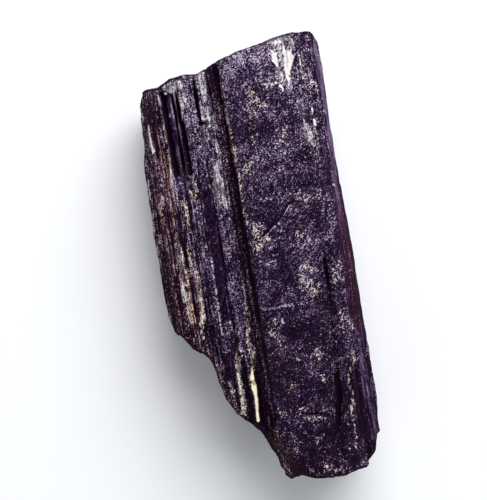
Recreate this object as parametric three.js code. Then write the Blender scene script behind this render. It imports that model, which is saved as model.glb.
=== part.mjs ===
// A natural crystal of black tourmaline (schorl): a striated prism, snapped off at both ends,
// lying on its flattest prism face. Millimetres, +Z up, resting on Z = 0.
// The prism grew along Y. The broad front face looks up, the square break is at +Y and the
// long slanting break is at -Y. It is one crystal, so it is one solid.
import * as THREE from "three";
import { mergeVertices } from "three/addons/utils/BufferGeometryUtils.js";

// Driving dimensions of the whole crystal.
const LENGTH = 57.6;
const WIDTH = 25.3;
const THICKNESS = 15.2;

// Grid of the skin: along the prism, and up the sides and the broken ends.
const ROWS = 31;
const LAYERS = 10;

// Front outline of the section, [x, z], from the left shoulder to the right one.
// Every point is the crest or the foot of a rib, so each one draws a line along the prism.
const FRONT = [
  [-11.7, 10.4],
  [-11.4, 10.95],
  [-11.0, 11.4],
  [-10.6, 11.55],
  [-10.2, 11.95],
  [-9.8, 12.05],
  [-9.5, 11.95],
  [-9.1, 12.3],
  [-8.9, 12.4],
  [-8.7, 12.3],
  [-8.5, 12.15],
  [-8.0, 12.35],
  [-7.4, 12.45],
  [-7.05, 12.35],
  [-6.87, 12.55],
  [-6.7, 12.35],
  [-6.45, 12.5],
  [-6.3, 12.65],
  [-5.9, 12.9],
  [-5.4, 12.95],
  [-4.9, 13.1],
  [-4.4, 13.1],
  [-4.22, 12.95],
  [-4.1, 12.6],
  [-3.95, 13.0],
  [-3.6, 13.3],
  [-3.1, 13.4],
  [-2.6, 13.45],
  [-2.38, 13.3],
  [-2.2, 12.95],
  [-1.85, 13.1],
  [-1.45, 13.1],
  [-1.08, 12.75],
  [-0.9, 13.9],
  [-0.7, 14.35],
  [-0.3, 14.6],
  [0.6, 14.85],
  [1.8, 15.0],
  [3.2, 15.15],
  [4.6, 15.2],
  [6.0, 15.15],
  [7.2, 15.05],
  [7.9, 14.95],
  [8.4, 14.87],
  [8.7, 14.75],
  [9.0, 14.83],
  [9.4, 14.8],
  [10.2, 14.6],
  [10.8, 14.4],
  [11.2, 14.15],
  [11.7, 13.85],
  [12.1, 13.3],
  [12.3, 12.6],
];
const COLUMNS = FRONT.length - 1;

// The two sides of the section, [x, z], from the resting face up to the shoulders.
const LEFT_SIDE = [
  [-7.6, 0],
  [-8.9, 0.5],
  [-10.1, 1.6],
  [-11.3, 2.9],
  [-11.9, 4.2],
  [-12.55, 5.3],
  [-12.25, 6.4],
  [-12.6, 7.4],
  [-12.45, 8.4],
  [-12.1, 9.5],
  [-11.7, 10.4],
];
const RIGHT_SIDE = [
  [8.2, 0],
  [9.5, 0.45],
  [10.5, 1.6],
  [11.4, 2.9],
  [11.75, 4.3],
  [12.35, 5.8],
  [12.2, 7.1],
  [12.6, 8.6],
  [12.5, 10.2],
  [12.62, 11.6],
  [12.3, 12.6],
];

// Shallow furrows in the resting face: [middle x, half width, depth]. The broad land between
// the second and the third is the face that the crystal is set down on.
const RESTING_FURROWS = [
  [-5.2, 0.9, 0.5],
  [-2.6, 0.7, 0.35],
  [4.3, 1.0, 0.55],
  [6.6, 0.6, 0.3],
];

// Where the crystal ends, seen from above: [x, y] of the two broken outlines.
const SQUARE_BREAK = [
  [-12.6, 22.9],
  [-12.3, 23.9],
  [-11.9, 24.4],
  [-11.4, 24.7],
  [-9.1, 24.7],
  [-8.5, 24.95],
  [-7.2, 25.5],
  [-5.3, 25.75],
  [-3.8, 25.5],
  [-2.5, 26],
  [-1.5, 26.6],
  [1, 27.2],
  [4, 27.75],
  [6, 28.35],
  [8, 28.75],
  [9.2, 28.8],
  [10.1, 28.6],
  [10.9, 28.75],
  [11.5, 28.6],
  [12, 28.2],
  [12.6, 27.1],
];
const SLANTING_BREAK = [
  [-12.6, -5],
  [-12.3, -6.2],
  [-11.5, -7.6],
  [-10.5, -9],
  [-9.3, -10.2],
  [-8, -11.3],
  [-7.4, -13],
  [-7.05, -15],
  [-6.7, -17],
  [-5.7, -18.5],
  [-4.3, -20.2],
  [-3.2, -21.4],
  [-2.3, -23],
  [-1.6, -24.5],
  [-1, -25.8],
  [-0.5, -27.6],
  [0, -28.5],
  [1.5, -28.6],
  [3.5, -28.85],
  [5.5, -28.95],
  [8.75, -28.9],
  [9.6, -28.55],
  [10.6, -28.3],
  [11.1, -28],
  [11.6, -27.5],
  [11.72, -26.3],
  [11.8, -25.2],
  [11.95, -24.5],
  [12.6, -24.1],
];

// How far each break slopes back from its outline to the front face's rim, along Y.
const SQUARE_SLOPE = [
  [-12.6, 0.3],
  [-9.4, 0.15],
  [-8.2, 0.8],
  [-5.4, 0.8],
  [-4.8, 0.15],
  [4.6, 0.15],
  [6.2, 0.6],
  [8.4, 0.5],
  [9.5, 0.15],
  [12.6, 0.25],
];
const SLANTING_SLOPE = [
  [-12.6, 0.6],
  [-9.5, 0.9],
  [-7.2, 0.8],
  [-5.5, 0.4],
  [-4, 0.6],
  [-2.6, 2],
  [-1.2, 4.2],
  [-0.2, 4.4],
  [0.9, 2.8],
  [2, 1.2],
  [3.5, 0.5],
  [8.8, 0.5],
  [12.6, 0.3],
];
const SQUARE_END = {
  outline: SQUARE_BREAK,
  slope: SQUARE_SLOPE,
  slopeDepth: 1.3,
  undercut: 1.6,
};
const SLANTING_END = {
  outline: SLANTING_BREAK,
  slope: SLANTING_SLOPE,
  slopeDepth: 2.8,
  undercut: 2.4,
};

// How the left and right sides stray from straight along the prism: [y, x offset].
const LEFT_STRAY = [
  [-6, 0.1],
  [0, 0],
  [8, 0.15],
  [13.5, 0.25],
  [15.4, 0.35],
  [16.4, 0.62],
  [22, 0.85],
  [24.5, 1.0],
];
const RIGHT_STRAY = [
  [-23, -0.4],
  [-20, -0.18],
  [-12, -0.1],
  [-6, 0],
  [1, 0],
  [6, -0.16],
  [14, -0.18],
  [20, -0.06],
  [26, 0],
];

// Value at x of a line through [x, value] points, flat beyond its ends.
function along(points, x) {
  if (x <= points[0][0]) return points[0][1];
  for (let i = 1; i < points.length; i++) {
    const [x0, v0] = points[i - 1];
    const [x1, v1] = points[i];
    if (x <= x1) return v0 + ((v1 - v0) * (x - x0)) / (x1 - x0);
  }
  return points[points.length - 1][1];
}

// 1 between two places and 0 beyond them, with eased edges.
function between(value, low, high, edge) {
  const rise = THREE.MathUtils.smoothstep(value, low - edge, low + edge);
  const fall = THREE.MathUtils.smoothstep(value, high - edge, high + edge);
  return rise * (1 - fall);
}

// 1 at a place, 0 at its reach and beyond, with straight flanks.
function peak(value, middle, reach) {
  return Math.max(0, 1 - Math.abs(value - middle) / reach);
}

// Slow swell of the faces: a few crossing waves with no common period.
function swell(x, y) {
  const broad = Math.sin(0.21 * y + 0.13 * x + 0.6);
  const short = Math.sin(0.47 * y - 0.31 * x + 2.1);
  return 0.6 * broad + 0.4 * short;
}

// The missing panel: a rib that broke away left of the middle and bared a smooth floor.
const PANEL = { left: -8.75, right: -6.35, low: 12.9, high: 23.2, depth: 0.75 };

// The soft furrow right of the front face, which drifts left towards the slanting break.
const FURROW = { x: 8.7, top: 0.4, foot: -22.5, depth: 0.38, halfWidth: 0.5 };
const FURROW_DRIFT = [
  [-23, -1.9],
  [-20, -1.4],
  [-17, -1.05],
  [-14, -0.75],
  [-10, -0.35],
  [-5, -0.05],
];

// The right bevel widens at the slanting end and narrows at the square one.
const BEVEL = { x: 11.2, from: -9.5, widening: 0.85, drop: 0.55, narrowing: 0.4 };

// Front point of a column at a place along the prism.
function frontPoint(column, y) {
  let [x, z] = FRONT[column];
  if (x > PANEL.left && x < PANEL.right) {
    const ridge = 0.5 * peak(x, -6.87, 0.14);
    z -= (PANEL.depth - ridge) * between(y, PANEL.low, PANEL.high, 0.35);
  }
  z -= 0.3 * peak(x, -8.9, 0.25) * between(y, -7, 3.5, 1);
  const hollow = 0.28 * peak(x, -2.6, 2.2) * between(y, -12, 6, 3);
  z -= x < PANEL.right ? 0 : hollow;
  z -= FURROW.depth * peak(x, FURROW.x, FURROW.halfWidth) * between(y, FURROW.foot, FURROW.top, 1.5);
  const lowEnd = 1 - THREE.MathUtils.smoothstep(y, BEVEL.from - 5, BEVEL.from);
  z -= BEVEL.drop * lowEnd * THREE.MathUtils.smoothstep(x, 9.6, BEVEL.x);
  const highEnd = THREE.MathUtils.smoothstep(y, 11, 17);
  x += (BEVEL.narrowing * highEnd - BEVEL.widening * lowEnd) * peak(x, BEVEL.x, 0.75);
  x += along(FURROW_DRIFT, y) * peak(x, FURROW.x, 2.4);
  x -= 0.32 * peak(x, -1.7, 2.2) * (1 - THREE.MathUtils.smoothstep(y, -22, -4));
  x += along(LEFT_STRAY, y) * THREE.MathUtils.smoothstep(-x, 8.7, 11.7);
  x += along(RIGHT_STRAY, y) * THREE.MathUtils.smoothstep(x, 10.9, 12.3);
  z += 0.12 * swell(x, y);
  return new THREE.Vector2(x, z);
}

// Resting point of a column: on Z = 0, but for the furrows.
function restingPoint(column, y) {
  const share = column / COLUMNS;
  const x = THREE.MathUtils.lerp(LEFT_SIDE[0][0], RIGHT_SIDE[0][0], share);
  let z = 0;
  for (const [middle, halfWidth, depth] of RESTING_FURROWS) {
    const wander = middle + 0.25 * Math.sin(0.16 * y + middle);
    z = Math.max(z, depth * peak(x, wander, halfWidth));
  }
  return new THREE.Vector2(x, z);
}

// Point of a side at a layer. The swell fades to nothing at the resting face.
function sidePoint(side, stray, layer, y) {
  const [x, z] = side[layer];
  const lift = 0.12 * swell(x, y) * (layer / LAYERS) ** 3;
  return new THREE.Vector2(x + along(stray, y), z + lift);
}

// The whole section at y, for a column and a layer: a patch stretched between its four sides.
function sectionPoint(column, layer, y) {
  const a = column / COLUMNS;
  const c = layer / LAYERS;
  const front = frontPoint(column, y);
  const resting = restingPoint(column, y);
  const left = sidePoint(LEFT_SIDE, LEFT_STRAY, layer, y);
  const right = sidePoint(RIGHT_SIDE, RIGHT_STRAY, layer, y);
  if (column === 0) return left;
  if (column === COLUMNS) return right;
  if (layer === 0) return resting;
  if (layer === LAYERS) return front;
  const corners = new THREE.Vector2()
    .addScaledVector(restingPoint(0, y), (1 - a) * (1 - c))
    .addScaledVector(restingPoint(COLUMNS, y), a * (1 - c))
    .addScaledVector(frontPoint(0, y), (1 - a) * c)
    .addScaledVector(frontPoint(COLUMNS, y), a * c);
  return new THREE.Vector2()
    .addScaledVector(resting, 1 - c)
    .addScaledVector(front, c)
    .addScaledVector(left, 1 - a)
    .addScaledVector(right, a)
    .sub(corners);
}

// Uneven fracture: flat chips a few millimetres across, none of them in step.
function chips(x, z) {
  const fold = (t) => Math.abs((((t % 2) + 2) % 2) - 1) - 0.5;
  const large = fold(0.19 * x + 0.11 * z + 0.35) + fold(0.13 * x - 0.27 * z + 0.9);
  const small = fold(0.52 * x + 0.41 * z + 0.2) + fold(0.61 * x - 0.33 * z + 1.3);
  return 0.75 * large + 0.32 * small;
}

// Where a break stands at a point of the section. towards is +1 for the square break.
function breakPlace(end, towards, x, z, frontZ) {
  const { outline, slope, slopeDepth, undercut } = end;
  const depth = frontZ - z;
  const rim = 1 - THREE.MathUtils.smoothstep(depth, 0, slopeDepth);
  const under = THREE.MathUtils.smoothstep(depth, slopeDepth, frontZ);
  const inside = THREE.MathUtils.smoothstep(depth, 1, 4.5);
  const back = along(slope, x) * rim + undercut * under;
  return along(outline, x) - towards * (back + inside * (0.6 + chips(x, z)));
}

// Share of the length at a row: rows draw closer together at both ends.
function rowShare(row) {
  const even = row / ROWS;
  const eased = (1 - Math.cos(Math.PI * even)) / 2;
  return 0.55 * even + 0.45 * eased;
}

// The skin starts as a box of quads, and each of its points is carried to its place.
function crystalGeometry() {
  const box = new THREE.BoxGeometry(1, 1, 1, COLUMNS, ROWS, LAYERS);
  box.deleteAttribute("normal");
  box.deleteAttribute("uv");
  const skin = mergeVertices(box);
  skin.clearGroups();
  const place = skin.getAttribute("position");
  for (let i = 0; i < place.count; i++) {
    const column = Math.round((place.getX(i) + 0.5) * COLUMNS);
    const row = Math.round((place.getY(i) + 0.5) * ROWS);
    const layer = Math.round((place.getZ(i) + 0.5) * LAYERS);
    const [x, z] = sectionPoint(column, layer, 0).toArray();
    const frontZ = sectionPoint(column, LAYERS, 0).y;
    const high = breakPlace(SQUARE_END, 1, x, z, frontZ);
    const low = breakPlace(SLANTING_END, -1, x, z, frontZ);
    const y = THREE.MathUtils.lerp(low, high, rowShare(row));
    const section = sectionPoint(column, layer, y);
    place.setXYZ(i, section.x, y, section.y);
  }
  return skin;
}

// Puts the middle of the geometry's box over the origin, resting on Z = 0, and brings the box
// to the driving dimensions.
function settle(geometry) {
  geometry.computeBoundingBox();
  const { min, max } = geometry.boundingBox;
  const size = geometry.boundingBox.getSize(new THREE.Vector3());
  geometry.translate(-(min.x + max.x) / 2, -(min.y + max.y) / 2, -min.z);
  geometry.scale(WIDTH / size.x, LENGTH / size.y, THICKNESS / size.z);
  return geometry;
}

const schorl = new THREE.MeshStandardMaterial({
  color: 0x241a2c,
  roughness: 0.5,
  metalness: 0,
});

const crystal = new THREE.Mesh(settle(crystalGeometry()), schorl);
crystal.name = "tourmaline_crystal";

const part = new THREE.Group();
part.add(crystal);

export default part;
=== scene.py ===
"""The looks of a raw black tourmaline crystal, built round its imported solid.

The crystal is one broken prism of schorl lying on its flattest face. Its skin starts as a copy
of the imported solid, is made finer, and is then carved: striations along the prism, uneven
fracture at both ends, chipped rims, steps and cracks on the front plate. The pale films, crusts,
stains and grains that grew on it are drawn as strokes, in millimetres, seen from above.
"""

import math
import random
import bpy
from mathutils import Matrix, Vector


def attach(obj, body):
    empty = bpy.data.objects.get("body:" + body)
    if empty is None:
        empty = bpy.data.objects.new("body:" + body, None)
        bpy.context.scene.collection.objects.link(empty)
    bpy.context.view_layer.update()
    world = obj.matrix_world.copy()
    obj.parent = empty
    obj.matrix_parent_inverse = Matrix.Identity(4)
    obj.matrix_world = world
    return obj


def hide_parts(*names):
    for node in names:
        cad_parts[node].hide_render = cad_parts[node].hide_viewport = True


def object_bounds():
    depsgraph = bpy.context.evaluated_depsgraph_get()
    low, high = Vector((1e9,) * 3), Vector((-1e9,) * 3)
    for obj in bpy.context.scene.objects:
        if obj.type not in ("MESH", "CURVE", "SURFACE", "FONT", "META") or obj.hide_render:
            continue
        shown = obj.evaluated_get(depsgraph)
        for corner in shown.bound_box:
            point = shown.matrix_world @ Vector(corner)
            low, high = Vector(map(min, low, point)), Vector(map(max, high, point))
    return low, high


bl_info = {
    "name": "Raw Tourmaline Crystal",
    "version": (1, 0, 0),
    "blender": (4, 5, 0),
    "location": "3D View > Sidebar > Tourmaline",
    "description": "Carves a raw schorl prism and grows the pale films on it",
    "category": "Object",
}

import bpy
import numpy as np

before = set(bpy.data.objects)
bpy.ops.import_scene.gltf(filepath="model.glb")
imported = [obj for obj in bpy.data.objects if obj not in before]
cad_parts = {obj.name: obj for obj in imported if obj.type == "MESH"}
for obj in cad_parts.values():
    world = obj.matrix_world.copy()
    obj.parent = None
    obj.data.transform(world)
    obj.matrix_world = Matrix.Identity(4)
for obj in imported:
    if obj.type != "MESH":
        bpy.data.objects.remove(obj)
CAD_BOX = [list(corner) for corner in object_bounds()]

CRYSTAL_NODE = "tourmaline_crystal"
MM = 0.001
PER_METRE = 1000.0

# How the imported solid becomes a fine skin.
MERGE_DISTANCE = 0.002 * MM
QUAD_ANGLE = math.radians(120)
CRISP_ANGLE = math.radians(38)
CRISPNESS = 0.9
MAP_ANGLE = math.radians(60)
MAP_MARGIN = 0.004
SKIN_LEVELS = 2
SMOOTH_ANGLE = math.radians(50)

# How the patterns are drawn out along the prism, by a factor on each axis, or pushed about.
RIB_STRETCH = (1.0, 0.045, 1.0)
STREAK_STRETCH = (1.0, 0.06, 1.0)
MARBLE_STRETCH = (1.0, 0.62, 1.0)
MARBLE_LEAN = 0.6
CHIP_PUSH = (2.4, 2.4, 2.4)
GRAIN_PUSH = (0.5, 0.5, 0.5)

# How light bare schorl is before its patterns, and how light each middle colour is.
BASE_LIGHT = 0.172
MIDDLE_LIGHT = 0.45

# The middle of the view and how far the plate lies below the crystal's top, in millimetres.
VIEW_MIDDLE = (-1.32, 2.16)
PLATE_DROP = 0.5
SENSOR_HEIGHT = 36.0


# ---------------------------------------------------------------- strokes on the front
# Every stroke is a list of (x, y, half width) in millimetres, seen from above.

# Further outside a stroke than its mark ever reaches.
FAR = 9.0

WHITE_FILM = [
    [(6.5, 26.6, 0.14), (6.58, 26.2, 0.34), (6.62, 25.4, 0.38), (6.85, 24.7, 0.16)],
    [(8.1, 28.0, 0.02), (8.0, 27.0, 0.14), (7.95, 25.0, 0.26), (7.8, 23.4, 0.2)],
    [(8.3, 26.3, 0.26), (8.55, 25.5, 0.56), (8.3, 24.8, 0.5), (8.0, 24.0, 0.4)],
    [(8.0, 24.0, 0.4), (7.85, 23.2, 0.26), (7.95, 22.6, 0.14), (7.65, 21.7, 0.05)],
    [(8.75, 26.3, 0.14), (8.7, 25.8, 0.3)],
    [(6.25, 22.6, 0.17), (6.6, 22.5, 0.12)],
    [(6.75, 22.2, 0.14), (7.0, 21.7, 0.16), (7.15, 21.2, 0.06)],
    [(6.5, 27.5, 0.06), (7.1, 27.75, 0.16), (7.7, 27.6, 0.1)],
    [(9.75, 25.6, 0.06), (9.75, 24.4, 0.09)],
    [(9.75, 22.9, 0.08), (9.8, 22.6, 0.08)],
    [(10.3, 18.7, 0.1), (10.3, 18.1, 0.12)],
    [(10.3, 17.2, 0.16), (10.35, 16.6, 0.22)],
    [(-10.85, 20.1, 0.13), (-10.95, 18.8, 0.18), (-10.9, 17.6, 0.24), (-10.75, 16.6, 0.28)],
    [(2.9, 16.5, 0.13), (2.95, 16.4, 0.13)],
    [(-8.05, 23.9, 0.08), (-7.95, 23.7, 0.14), (-8.15, 23.6, 0.12)],
    [(-7.85, 24.8, 0.05), (-7.8, 24.5, 0.06)],
    [(2.05, -7.4, 0.12), (2.15, -7.8, 0.17)],
    [(-4.6, -13.3, 0.05), (-4.65, -14.6, 0.1), (-4.6, -16.0, 0.08)],
    [(3.5, -3.6, 0.14), (3.6, -3.7, 0.12)],
]

CREAM_CRUST = [
    [(-2.3, -7.6, 0.2), (-2.55, -9.2, 0.2), (-2.5, -10.6, 0.3), (-2.3, -11.5, 0.36)],
    [(-2.5, -11.5, 0.24), (-2.65, -12.8, 0.26), (-2.75, -13.3, 0.3)],
    [(-4.0, -9.6, 0.02), (-3.8, -10.6, 0.06), (-3.9, -11.6, 0.02)],
    [(-3.25, -13.8, 0.1), (-3.2, -15.2, 0.14)],
    [(-4.35, -10.9, 0.2), (-4.4, -12.3, 0.26), (-4.6, -14.3, 0.24), (-4.55, -16.0, 0.3)],
    [(-4.55, -16.0, 0.3), (-4.5, -17.0, 0.36), (-4.65, -18.6, 0.34)],
    [(-5.8, -14.3, 0.24), (-5.7, -15.0, 0.2), (-5.6, -17.0, 0.12), (-5.35, -18.6, 0.2)],
    [(-9.6, 5.6, 0.2), (-9.4, 4.6, 0.22), (-9.3, 3.4, 0.16), (-9.35, 1.5, 0.2), (-9.2, 0.6, 0.22)],
    [(-9.0, 0.4, 0.14), (-9.0, -1.4, 0.12), (-9.15, -3.2, 0.14)],
    [(-9.5, -0.9, 0.2), (-9.55, -2.4, 0.26), (-9.5, -3.8, 0.32), (-9.6, -4.6, 0.42)],
    [(-9.6, -4.6, 0.42), (-9.4, -5.5, 0.34), (-9.3, -6.4, 0.14)],
    [(-9.3, -6.8, 0.1), (-9.3, -8.0, 0.08)],
    [(-8.25, 3.9, 0.14), (-8.3, 3.0, 0.26), (-8.3, 2.1, 0.2), (-8.3, 1.3, 0.1)],
    [(-8.0, 0.9, 0.1), (-7.85, -0.4, 0.16), (-7.75, -2.5, 0.16), (-7.85, -4.2, 0.24)],
    [(-7.85, -4.2, 0.24), (-8.0, -5.3, 0.3), (-8.3, -6.4, 0.2), (-8.4, -8.2, 0.14)],
    [(-9.75, 11.0, 0.08), (-9.7, 9.4, 0.22), (-9.6, 8.4, 0.16), (-9.5, 6.4, 0.1)],
    [(-6.75, 10.6, 0.24), (-6.5, 10.1, 0.36), (-6.3, 9.5, 0.2)],
    [(-6.1, 12.2, 0.08), (-6.05, 10.6, 0.1)],
    [(-8.2, 9.4, 0.16), (-7.95, 8.6, 0.28), (-7.8, 7.9, 0.16)],
    [(-7.7, 7.5, 0.06), (-7.7, 5.2, 0.02)],
    [(-8.95, 19.2, 0.08), (-8.95, 18.4, 0.15), (-9.1, 17.6, 0.2)],
    [(-8.95, 16.3, 0.05), (-8.95, 14.0, 0.1), (-9.0, 13.0, 0.1)],
    [(-6.2, 23.2, 0.02), (-6.2, 20.0, 0.06)],
    [(-10.95, 9.8, 0.04), (-11.0, 8.6, 0.16), (-11.05, 7.6, 0.06)],
    [(-0.6, -26.3, 0.06), (-0.1, -26.6, 0.14), (0.2, -27.2, 0.06)],
    [(-2.2, 18.8, 0.06), (-2.3, 18.2, 0.12), (-2.3, 17.8, 0.06)],
    [(9.9, -14.9, 0.02), (9.45, -15.7, 0.0), (9.2, -16.8, 0.02), (9.5, -18.2, 0.0)],
    [(9.5, -18.2, 0.0), (9.3, -19.3, 0.04), (8.9, -20.6, 0.14), (9.0, -21.6, 0.02)],
    [(9.0, -21.6, 0.0), (9.0, -23.2, 0.04), (8.85, -24.4, 0.02), (8.8, -25.6, 0.06)],
    [(-5.3, 25.5, 0.14), (-5.2, 25.1, 0.16)],
    [(-2.2, -4.4, 0.08), (-2.25, -5.6, 0.14), (-2.3, -6.6, 0.08)],
    [(-0.7, 20.2, 0.04), (-0.65, 17.6, 0.16), (-0.62, 16.6, 0.06)],
    [(-0.4, 11.6, 0.0), (-0.42, 9.0, 0.06), (-0.45, 6.4, 0.1)],
    [(-0.4, 15.6, 0.1), (-0.35, 14.2, 0.12), (-0.4, 13.0, 0.04)],
    [(-7.4, 13.1, 0.08), (-6.6, 12.7, 0.1), (-6.0, 12.5, 0.08)],
]

FELDSPAR = [
    [(-2.7, -13.0, 0.0), (-2.8, -13.7, 0.2), (-2.9, -14.4, 0.28), (-2.85, -14.75, 0.2)],
    [(-2.85, -14.9, 0.26), (-2.9, -15.4, 0.34), (-2.85, -15.9, 0.3), (-2.82, -16.2, 0.22)],
    [(-2.82, -16.2, 0.22), (-2.88, -17.6, 0.22), (-2.98, -18.6, 0.2), (-3.02, -19.8, 0.2)],
    [(-3.2, -14.0, 0.03), (-3.2, -14.3, 0.05)],
]

SILVER_FILM = [
    [(-3.3, 25.4, 0.6), (-3.1, 23.6, 0.5), (-3.1, 22.2, 0.45)],
    [(-3.7, 21.6, 0.16), (-3.65, 20.2, 0.2), (-3.6, 19.3, 0.14)],
    [(-2.9, 21.0, 0.25), (-3.0, 19.4, 0.3)],
    [(-3.9, 18.7, 0.1), (-3.0, 18.6, 0.18)],
    [(4.5, 22.9, 0.08), (5.1, 22.4, 0.2), (5.9, 22.4, 0.1)],
    [(-3.9, 18.6, 0.12), (-3.1, 17.0, 0.25), (-2.7, 16.2, 0.35), (-2.5, 15.0, 0.2)],
    [(-2.4, 14.2, 0.14), (-2.8, 13.4, 0.35), (-3.0, 12.4, 0.3), (-2.8, 11.2, 0.4)],
    [(-4.6, 11.4, 0.12), (-4.2, 10.9, 0.14), (-3.9, 10.2, 0.16), (-3.6, 9.3, 0.25)],
    [(-3.0, 11.4, 0.6), (-3.3, 10.2, 0.8), (-3.2, 9.3, 0.6), (-2.8, 8.6, 0.4)],
    [(-2.8, 8.6, 0.3), (-2.5, 8.0, 0.22), (-2.15, 7.4, 0.08)],
    [(-6.3, 23.3, 0.02), (-6.35, 20.2, 0.04)],
    [(-9.75, -0.6, 0.14), (-9.9, -2.0, 0.26), (-9.8, -3.2, 0.2)],
    [(-7.8, 24.5, 0.45), (-7.0, 24.4, 0.75), (-6.2, 24.4, 0.6)],
    [(9.0, 17.2, 0.16), (9.15, 16.2, 0.5), (9.5, 15.1, 0.55), (9.85, 14.0, 0.3)],
    [(7.45, 27.2, 0.25), (7.4, 25.6, 0.3), (7.3, 24.6, 0.2)],
    [(8.4, 28.2, 0.3), (9.0, 27.6, 0.4), (8.9, 26.7, 0.3)],
    [(-5.6, 23.3, 0.12), (-5.55, 22.4, 0.16), (-5.45, 21.6, 0.08)],
    [(6.75, 24.4, 0.35), (6.8, 23.4, 0.52), (6.85, 22.7, 0.34)],
    [(9.75, 26.0, 0.12), (9.72, 24.6, 0.16), (9.8, 23.4, 0.14), (9.85, 22.6, 0.14)],
    [(10.2, 26.0, 0.1), (10.25, 24.6, 0.14), (10.2, 23.0, 0.1)],
    [(9.95, 17.2, 0.06), (10.3, 15.6, 0.08), (10.4, 13.6, 0.12)],
    [(9.2, 21.8, 0.06), (9.2, 18.6, 0.08)],
    [(6.1, 27.9, 0.3), (7.0, 27.8, 0.5), (8.0, 28.0, 0.45)],
    [(-5.6, 1.9, 0.08), (-5.5, 1.0, 0.2), (-5.6, 0.2, 0.14)],
    [(9.9, 27.9, 0.15), (10.0, 27.6, 0.15)],
    [(-4.55, -13.3, 0.1), (-4.6, -16.0, 0.16), (-4.5, -17.4, 0.24), (-4.75, -18.7, 0.2)],
]

BROWN_STAIN = [
    [(-9.65, 16.8, 0.06), (-9.75, 15.2, 0.14), (-9.6, 13.5, 0.26), (-9.6, 11.0, 0.2)],
    [(-8.1, 9.6, 0.1), (-7.9, 8.4, 0.14), (-7.75, 6.0, 0.04)],
    [(-10.9, 10.5, 0.1), (-11.0, 8.8, 0.22), (-11.1, 7.4, 0.12)],
    [(-0.6, 21.0, 0.0), (-0.6, 18.5, 0.08), (-0.5, 15.4, 0.1), (-0.4, 12.3, 0.06)],
    [(-0.55, 10.0, 0.0), (-0.5, 6.0, 0.04)],
    [(-9.0, -1.0, 0.06), (-9.2, -3.0, 0.1), (-9.3, -4.8, 0.24), (-9.3, -5.9, 0.14)],
    [(-7.8, 0.6, 0.1), (-7.6, -2.5, 0.04), (-7.8, -5.0, 0.16)],
    [(-3.15, -14.8, 0.24), (-2.7, -14.85, 0.28)],
    [(-6.6, 10.3, 0.06), (-6.4, 9.9, 0.12)],
    [(0.5, 2.4, 0.0), (0.6, 2.0, 0.08)],
    [(-0.6, -25.8, 0.3), (-0.2, -26.8, 0.2)],
]

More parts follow.
